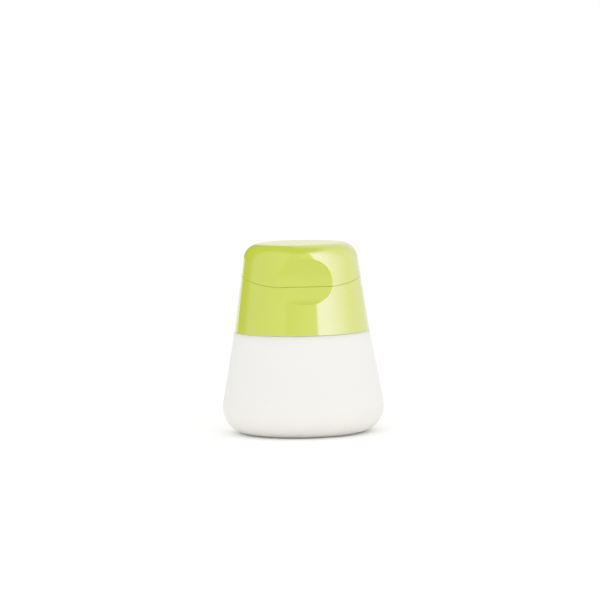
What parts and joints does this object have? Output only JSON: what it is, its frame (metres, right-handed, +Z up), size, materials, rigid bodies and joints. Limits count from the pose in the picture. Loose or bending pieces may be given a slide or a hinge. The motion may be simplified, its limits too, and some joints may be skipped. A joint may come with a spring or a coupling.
{
  "type": "squeeze dressing bottle",
  "caption": "Small soft squeeze bottle for salad dressing with a conical screw cap, a slanting seam, a hinged flip lid with a thumb hollow, a spout with a slit valve and a stopper.",
  "frame": {"origin": "centre of the face that the bottle stands on", "axes": "+Z up the bottle's axis, -Y to the front with the thumb hollow, +Y to the hinge"},
  "size_m": [0.0526, 0.0526, 0.062],
  "materials": {
    "milky_silicone": "satin, milky and slightly translucent",
    "seal_silicone": "satin",
    "lime_plastic": "smooth gloss",
    "white_plastic": "fine matt",
    "pin_steel": "drawn"
  },
  "bodies": {
    "bottle": {"bottle_body": "milky_silicone", "neck_ring": "white_plastic"},
    "gasket": {"neck_gasket": "seal_silicone"},
    "cap": {"cap_base": "lime_plastic", "dispensing_valve": "seal_silicone", "valve_retainer": "white_plastic", "hinge_pin": "pin_steel"},
    "lid": {"flip_lid": "lime_plastic", "lid_stopper": "seal_silicone"}
  },
  "joints": [
    {"name": "cap_lift", "type": "slide", "parent": "bottle", "child": "gasket", "axis": [0, 0, 1], "range_m": [0, 0.01681]},
    {"name": "cap_turn", "type": "hinge", "parent": "gasket", "child": "cap", "pos_m": [0, 0, 0], "axis": [0, 0, 1], "range_deg": [0, 1440]},
    {"name": "lid_hinge", "type": "hinge", "parent": "cap", "child": "lid", "pos_m": [0, 0.01994, 0.05572], "axis": [-1, 0, 0], "range_deg": [0, 120]}
  ],
  "couplings": [
    {"joint": "cap_lift", "follows": "cap_turn", "m_per_rad": 0.00066845}
  ]
}
